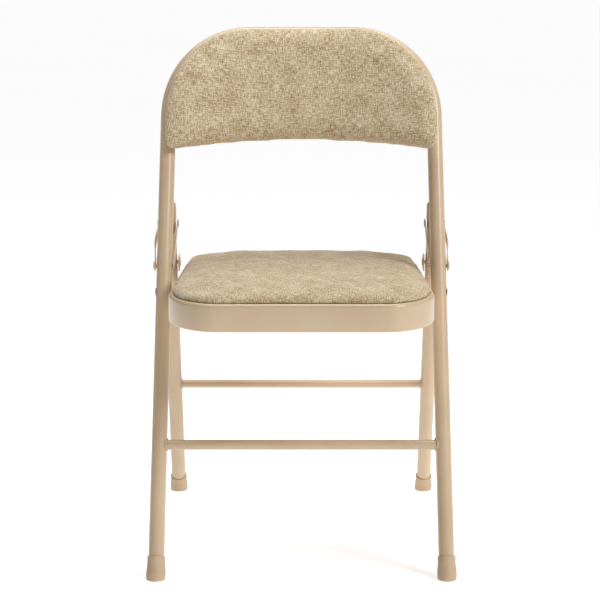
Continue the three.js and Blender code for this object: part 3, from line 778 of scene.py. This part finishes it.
def screws():
    """Four screws hold the backrest and four the seat, each a copy with its own mesh."""
    model = screw_solid()
    for index in range(1, 5):
        for group, body in (("back", "front_frame"), ("seat", "seat")):
            node = f"{group}_screw_{index}"
            low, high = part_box(node)
            middle = (low + high) / 2
            obj = copied(model)
            if group == "seat":
                matrix = Matrix.Translation((middle.x, middle.y, PAN_TOP - PAN_SHEET - GAP))
            else:
                local = FRONT_PLANE.inverted() @ middle
                depth = PANEL_FRONT + BACK_SHEET + sag_at(local.x) + 2 * GAP
                stand = Matrix.Translation((local.x, depth, local.z))
                matrix = FRONT_PLANE @ stand @ Matrix.Rotation(math.pi / 2, 4, "X")
            place(obj, matrix)
            finish_piece(obj, f"{group}_fixing_{index}", body, ZINC, "zinc", node)
    bpy.data.objects.remove(model)


# ---------- seat ----------
def seat_pan():
    """A pressed steel tray turned upside down: rounded rim, deep skirt, edge folded inwards."""
    obj = raised(flat_outline(seat_outline(0, steps=26)), PAN_SKIRT)
    place(obj, Matrix.Translation((0, 0, -PAN_SKIRT)))
    select_where(obj, lambda centre, normal: normal.z < -0.9)
    bpy.ops.object.mode_set(mode="EDIT")
    bpy.ops.mesh.select_mode(type="FACE")
    bpy.ops.mesh.delete(type="ONLY_FACE")
    bpy.ops.mesh.select_mode(type="EDGE")
    bpy.ops.object.mode_set(mode="OBJECT")
    select_where(obj, lambda a, b: min(a.z, b.z) > -1e-5, "edges")
    bpy.ops.object.mode_set(mode="EDIT")
    bpy.ops.mesh.bevel(offset=PAN_EDGE, segments=7, affect="EDGES", profile=0.5)
    bpy.ops.object.mode_set(mode="OBJECT")
    lowest = -PAN_SKIRT + 1e-5
    select_where(obj, lambda a, b: max(a.z, b.z) < lowest, "edges")
    bpy.ops.object.mode_set(mode="EDIT")
    bpy.ops.mesh.extrude_region_move(TRANSFORM_OT_translate={"value": (0, 0, 0)})
    shares = [1 - PAN_HEM / half for half in (PAN_HALF, PAN_FRONT_REACH)]
    bpy.ops.transform.resize(value=(*shares, 1))
    bpy.ops.object.mode_set(mode="OBJECT")
    select_where(obj, lambda a, b: max(a.z, b.z) < lowest and outer_edge(a, b), "edges")
    bpy.ops.object.mode_set(mode="EDIT")
    bpy.ops.mesh.bevel(offset=0.0022, segments=3, affect="EDGES")
    bpy.ops.object.mode_set(mode="OBJECT")
    apply_modifier(obj, "SOLIDIFY", thickness=PAN_SHEET, offset=-1.0)
    place(obj, SEAT_PLANE)
    return finish_piece(smooth(obj, 40), "seat_pan_pressed", "seat", PAINT, "paint", "seat_pan")


def outer_edge(a, b):
    """True for the edges of the skirt's outline, false for those of the folded hem."""
    for end in (a, b):
        straight = abs(end.x) > panel_half(end.y) - PAN_HEM / 3
        ends = end.y < -PAN_FRONT_REACH + PAN_HEM / 3 or end.y > PAN_REAR_REACH - PAN_HEM / 3
        if not (straight or ends or on_corner(end)):
            return False
    return True


def panel_half(y):
    """Half width of the pan at a distance behind its pivot, between its corners."""
    front_y = -PAN_FRONT_REACH + PAN_FRONT_CORNER[1]
    rear_y = PAN_REAR_REACH - PAN_REAR_CORNER[1]
    share = (y - front_y) / (rear_y - front_y)
    return PAN_HALF + (PAN_REAR_HALF - PAN_HALF) * share


def on_corner(point):
    """True if a point lies on one of the pan's corner ellipses."""
    corners = (
        (PAN_HALF, PAN_FRONT_CORNER, -PAN_FRONT_REACH, 1),
        (PAN_REAR_HALF, PAN_REAR_CORNER, PAN_REAR_REACH, -1),
    )
    for half, (wide, deep), edge_y, way in corners:
        u = (abs(point.x) - (half - wide)) / wide
        v = (edge_y + way * deep - point.y) * way / deep
        if u > 0 and v > 0 and math.hypot(u, v) > 1 - PAN_HEM / 3 / wide:
            return True
    return False


def seat_bracket(side, hand):
    """A folded ear: a flange on the skirt, a web outwards, and a plate with a round end."""
    pivot = SEAT_PLANE.inverted() @ LEG_PIVOT
    low, high = -PAN_SKIRT + 0.006, -0.003 - PAN_EDGE
    near = pivot.y - EAR_HALF_LENGTH
    plate = rear_half_at(LEG_PIVOT_AT) - TUBE_RADIUS - STRAP_CLEAR
    skirt = panel_half(near - EAR_OVERLAP) + GAP
    # The fold is drawn as its outer faces, and then thickened inwards.
    deselect()
    bpy.ops.mesh.primitive_plane_add(size=1)
    fold = bpy.context.object
    corners = [(skirt, near - EAR_OVERLAP, low), (skirt, near, low)]
    corners += [(skirt, near - EAR_OVERLAP, high), (skirt, near, high)]
    for vertex, corner in zip(fold.data.vertices, corners):
        vertex.co = corner
    web = plate - EAR_SHEET / 2
    for x, y in ((web, near), (web, pivot.y + EAR_BOSS)):
        select_where(fold, lambda a, b: abs(a.y - b.y) < 1e-6 and abs(a.x - b.x) < 1e-6
                     and last_ends(fold, a, b), "edges")
        ends = [vertex.co.copy() for vertex in fold.data.vertices][-2:]
        move = Vector((x, y, 0)) - Vector((ends[0].x, ends[0].y, 0))
        bpy.ops.object.mode_set(mode="EDIT")
        bpy.ops.mesh.select_mode(type="EDGE")
        bpy.ops.mesh.extrude_region_move(TRANSFORM_OT_translate={"value": tuple(move)})
        bpy.ops.object.mode_set(mode="OBJECT")
    apply_modifier(fold, "SOLIDIFY", thickness=EAR_SHEET, offset=0.0)
    apply_modifier(fold, "BEVEL", width=0.0006, segments=2, limit_method="ANGLE")
    ear = ear_plate(pivot, plate - EAR_SHEET, high)
    obj = joined([fold, ear])
    if side < 0:
        place(obj, Matrix.Scale(-1, 4, (1, 0, 0)))
        bpy.ops.object.mode_set(mode="EDIT")
        bpy.ops.mesh.select_all(action="SELECT")
        bpy.ops.mesh.normals_make_consistent(inside=False)
        bpy.ops.object.mode_set(mode="OBJECT")
    place(obj, SEAT_PLANE)
    return finish_piece(
        smooth(obj, 40), f"seat_ear_{hand}", "seat", PAINT, "paint", f"seat_bracket_{hand}"
    )


def last_ends(obj, a, b):
    """True for the edge between the two vertices that were made last."""
    first, second = (vertex.co for vertex in list(obj.data.vertices)[-2:])
    return {tuple(a), tuple(b)} == {tuple(first), tuple(second)}


def ear_plate(pivot, x, low):
    """The upright part of the ear, round about the rear leg's pivot."""
    turns = 24
    outline = [(pivot.y + EAR_BOSS, low)]
    for index in range(turns + 1):
        angle = math.pi * index / turns
        turn = (math.cos(angle), math.sin(angle))
        outline.append((pivot.y + EAR_BOSS * turn[0], pivot.z + EAR_BOSS * turn[1]))
    outline.append((pivot.y - EAR_BOSS, low))
    obj = raised(flat_outline(outline), EAR_SHEET)
    axes = Matrix(((0, 0, 1, x), (1, 0, 0, 0), (0, 1, 0, 0), (0, 0, 0, 1)))
    place(obj, axes)
    apply_modifier(obj, "BEVEL", width=0.0005, segments=2, limit_method="ANGLE",
                   angle_limit=math.radians(50))
    return obj


# ---------- padding ----------
def upper_rim_rounded(obj, above, radius):
    """Rounds a pad's upper rim, the edges that lie wholly above a height."""
    select_where(obj, lambda a, b: min(a.z, b.z) > above, "edges")
    bpy.ops.object.mode_set(mode="EDIT")
    bpy.ops.mesh.select_mode(type="EDGE")
    bpy.ops.mesh.bevel(offset=radius, segments=5, affect="EDGES")
    bpy.ops.object.mode_set(mode="OBJECT")


def remeshed(obj, voxel):
    apply_modifier(obj, "REMESH", mode="VOXEL", voxel_size=voxel)


def inflated(obj, held, pressure, cap):
    """Blows cloth up from inside, holding some points and capping how far the rest move."""
    start = [vertex.co.copy() for vertex in obj.data.vertices]
    group = obj.vertex_groups.new(name="held")
    group.add([v.index for v in obj.data.vertices if held(v.co)], 1.0, "REPLACE")
    frames = 20
    pick(obj)
    modifier = obj.modifiers.new("Cloth", "CLOTH")
    settings = modifier.settings
    settings.quality = 6
    settings.mass = 0.3
    settings.tension_stiffness = 18
    settings.compression_stiffness = 18
    settings.shear_stiffness = 8
    settings.bending_stiffness = 1.5
    settings.use_pressure = True
    settings.uniform_pressure_force = pressure
    settings.vertex_group_mass = "held"
    settings.effector_weights.gravity = 0
    scene = bpy.context.scene
    for step in range(1, frames + 1):
        scene.frame_set(step)
    bpy.ops.object.modifier_apply(modifier=modifier.name)
    scene.frame_set(1)
    for vertex, origin in zip(obj.data.vertices, start):
        move = vertex.co - origin
        if move.length > cap:
            vertex.co = origin + move * (cap / move.length)
    obj.vertex_groups.clear()


def relaxed(obj, rounds):
    """Evens out a padded surface without thinning it much."""
    apply_modifier(obj, "SMOOTH", factor=0.5, iterations=rounds)


def cut_map(obj, brim):
    """Lays the cloth out flat: plan position, pushed outwards by its drop below the brim."""
    places = []
    for vertex in obj.data.vertices:
        away = Vector((vertex.normal.x, vertex.normal.y))
        if away.length > 1e-6:
            away.normalize()
        drop = max(0.0, brim - vertex.co.z)
        places.append((vertex.co.x + away.x * drop, vertex.co.y + away.y * drop))
    layer = obj.data.uv_layers.new(name="cut")
    for loop in obj.data.loops:
        layer.data[loop.index].uv = places[loop.vertex_index]


def seat_pad():
    """A foam pad in a tight linen cover, crowned, tucked in where it meets the pan."""
    obj = raised(flat_outline(seat_outline(PAD_INSET)), PAD_THICK + PAD_SUNK)
    place(obj, Matrix.Translation((0, 0, GAP - PAD_SUNK)))
    upper_rim_rounded(obj, PAD_THICK * 0.9, PAD_EDGE)
    remeshed(obj, voxel=0.0045)
    middle = (PAN_REAR_REACH - PAN_FRONT_REACH) / 2
    deep = (PAN_REAR_REACH + PAN_FRONT_REACH) / 2
    for vertex in obj.data.vertices:
        x, y, z = vertex.co
        level = max(0.0, (z - GAP) / PAD_THICK)
        across_share = 1 - min(1.0, abs(x) / PAN_HALF) ** 2.2
        along_share = 1 - min(1.0, abs(y - middle) / deep) ** 2.2
        vertex.co.z += PAD_CROWN * level * across_share * along_share
    inflated(obj, lambda co: co.z < GAP, pressure=4.0, cap=0.0030)
    relaxed(obj, rounds=12)
    for vertex in obj.data.vertices:
        vertex.co.z = max(vertex.co.z, GAP)
    apply_modifier(obj, "SUBSURF", levels=1, render_levels=1)
    cushion_wear(obj, depth=0.0006)
    cut_map(obj, brim=0.015)
    place(obj, SEAT_PLANE)
    finish_piece(smooth(obj, 180), "seat_cushion", "seat", SEAT_LINEN, "fabric",
                 "seat_cover", "seat_foam", "seat_board")
    return obj


def cushion_wear(obj, depth):
    """Slow unevenness of foam under cloth."""
    normals = [vertex.normal.copy() for vertex in obj.data.vertices]
    for vertex, normal in zip(obj.data.vertices, normals):
        sample = noise.noise(vertex.co * 24.0) + 0.5 * noise.noise(vertex.co * 60.0)
        vertex.co += normal * (depth * sample)


def back_pad():
    """A foam pad in linen that wraps round the front of the arch, hollow to fit a back."""
    outset = BACK_PAD_OUTSET
    outline = back_outline(-outset["side"], -outset["top"], -outset["lower"])
    obj = raised(flat_outline(outline), BACK_PAD_THICK)
    upper_rim_rounded(obj, BACK_PAD_THICK * 0.9, BACK_PAD_EDGE)
    remeshed(obj, voxel=0.0042)
    inflated(obj, lambda co: co.z < 0.0012, pressure=4.0, cap=0.004)
    relaxed(obj, rounds=12)
    apply_modifier(obj, "SUBSURF", levels=1, render_levels=1)
    cushion_wear(obj, depth=0.0005)
    cut_map(obj, brim=BACK_PAD_THICK - 0.004)
    rear = PANEL_FRONT - GAP
    for vertex in obj.data.vertices:
        x, along, depth = vertex.co
        vertex.co = (x, rear - max(0.0, depth) + sag_at(x), along)
    place(obj, FRONT_PLANE)
    finish_piece(smooth(obj, 180), "back_cushion", "front_frame", BACK_LINEN, "fabric",
                 "back_cover", "back_foam", "back_board")
    return obj


# ---------- backrest panel ----------
def back_panel():
    """A curved steel sheet with softened edges, behind the pad and in front of the arch."""
    obj = crosscut(flat_outline(back_outline(BACK_PANEL_INSET)), 0, -BACK_HALF, BACK_HALF, 40)
    for vertex in obj.data.vertices:
        x, along = vertex.co.x, vertex.co.y
        vertex.co = (x, PANEL_FRONT + sag_at(x), along)
    if sum(face.normal.y for face in obj.data.polygons) < 0:
        obj.data.flip_normals()
    apply_modifier(obj, "SOLIDIFY", thickness=BACK_SHEET, offset=1.0)
    apply_modifier(obj, "BEVEL", width=0.0004, segments=2, limit_method="ANGLE",
                   angle_limit=math.radians(50))
    place(obj, FRONT_PLANE)
    return finish_piece(
        smooth(obj, 40), "back_sheet", "front_frame", PAINT, "paint", "back_panel"
    )


# ---------- stage ----------
def stage():
    """A wide pale floor under an even, dim sky."""
    deselect()
    bpy.ops.mesh.primitive_plane_add(size=200, location=(0, 0, 0))
    floor = bpy.context.object
    floor.name = "studio_floor"
    floor.data.materials.append(studio_paper())
    world = bpy.data.worlds.new("studio")
    world.use_nodes = True
    sky = world.node_tree.nodes["Background"]
    sky.inputs["Color"].default_value = linear("#FFFFFF")
    sky.inputs["Strength"].default_value = 0.12
    bpy.context.scene.world = world


def aimed(kind, name, azimuth, elevation, distance, energy):
    """A light aimed at the chair; azimuth 0 is in front, positive to the right."""
    target = Vector((0, 0, 0.42))
    turn, lift = math.radians(azimuth), math.radians(elevation)
    level = Vector((math.sin(turn), -math.cos(turn), 0)) * math.cos(lift)
    spot = target + distance * (level + Vector((0, 0, math.sin(lift))))
    bpy.ops.object.light_add(type=kind, location=spot)
    lamp = bpy.context.object
    lamp.name = name
    lamp.data.energy = energy
    lamp.rotation_euler = (target - spot).to_track_quat("-Z", "Y").to_euler()
    return lamp.data


def lights():
    """A broad key from the front right, and a softbox over the chair."""
    key = aimed("SUN", "key_light", azimuth=54, elevation=36, distance=4.0, energy=1.75)
    key.angle = math.radians(22)
    top = aimed("AREA", "top_softbox", azimuth=180, elevation=78, distance=1.9, energy=33)
    top.shape, top.size, top.size_y = "RECTANGLE", 1.6, 1.2


def camera():
    bpy.ops.object.camera_add(location=(-0.002, -2.995, 0.895))
    eye = bpy.context.object
    eye.rotation_euler = (math.radians(79.9), 0, 0)
    eye.data.sensor_width = 36.0
    eye.data.lens = 124.1
    bpy.context.scene.camera = eye


def build():
    front_tube()
    crossbar("front_bar", "front_crossbar", "front_frame", front_half_at, FRONT_BAR_AT,
             FRONT_BAR_RADIUS, FRONT_PLANE)
    crossbar("rear_bar", "rear_crossbar", "rear_legs", rear_half_at, REAR_BAR_AT,
             REAR_BAR_RADIUS, REAR_PLANE)
    back_panel()
    back_pad()
    seat_pan()
    seat_pad()
    screws()
    for side, hand in SIDES:
        rear_leg(side, hand)
        rear_cap(side, hand)
        foot_tip(side, f"front_tip_{hand}", f"front_foot_{hand}", "front_frame",
                 FRONT_FOOT_HALF, FRONT_SPLAY, FRONT_FOOT_Y, -FRONT_LEAN)
        foot_tip(side, f"rear_tip_{hand}", f"rear_foot_{hand}", "rear_legs",
                 REAR_FOOT_HALF, REAR_SPLAY, REAR_FOOT_Y, LEG_LEAN)
        seat_bracket(side, hand)
        hinge_hardware(side, hand)


def hinge_hardware(side, hand):
    """The two links of one side, the rivets that they turn on and the seat's own rivets."""
    strap(side, hand, STRAP_OUTER, 1, f"link_strap_outer_{hand}", f"link_outer_{hand}")
    strap(side, hand, STRAP_INNER, -1, f"link_strap_inner_{hand}", f"link_inner_{hand}")
    outer_low = strap_offset(STRAP_OUTER, 0, 1) + STRAP_OUTER["sheet"] + GAP
    inner_low = strap_offset(STRAP_INNER, 0, -1) - GAP
    rivet(side, f"link_pin_{hand}", "front_frame", FRONT_PLANE, inner_low, outer_low, 0,
          LINK_PIVOT_AT, 0, HEAD_HEIGHT, f"link_rivet_{hand}")
    pan_inner = panel_half(0) - PAN_SHEET - GAP - THIN_HEAD / 2
    tube_outer = front_half_at(SEAT_PIVOT_AT) + TUBE_RADIUS + GAP
    rivet(side, f"seat_pin_{hand}", "front_frame", FRONT_PLANE, pan_inner, tube_outer, 0,
          SEAT_PIVOT_AT, THIN_HEAD, FLUSH_HEAD, f"seat_rivet_{hand}")
    ear_inner = rear_half_at(LEG_PIVOT_AT) - TUBE_RADIUS - STRAP_CLEAR - EAR_SHEET - GAP
    leg_outer = rear_half_at(LEG_PIVOT_AT) + TUBE_RADIUS + GAP
    rivet(side, f"leg_pin_{hand}", "seat", Matrix.Identity(4), ear_inner, leg_outer,
          LEG_PIVOT.y, LEG_PIVOT.z, THIN_HEAD, HEAD_HEIGHT, f"leg_rivet_{hand}")
    outer_face = strap_offset(STRAP_OUTER, LINK_LENGTH, 1)
    inner_face = strap_offset(STRAP_INNER, LINK_LENGTH, -1) + STRAP_INNER["sheet"]
    rivet(side, f"link_head_out_{hand}", f"link_{hand}", LINK_PLANE, outer_face + GAP,
          outer_face + STRAP_OUTER["sheet"] + GAP, 0, LINK_LENGTH, 0, HEAD_HEIGHT,
          f"link_head_outer_{hand}")
    rivet(side, f"link_head_in_{hand}", f"link_{hand}", LINK_PLANE,
          inner_face - STRAP_INNER["sheet"] - GAP, inner_face - GAP, 0, LINK_LENGTH,
          THIN_HEAD, 0, f"link_head_inner_{hand}")
    spacer = frame["nodes"][f"seat_spacer_{hand}"]
    spacer.data.materials.clear()
    spacer.data.materials.append(ZINC)


bpy.context.scene.view_settings.view_transform = "Standard"
build()
stage()
lights()
camera()
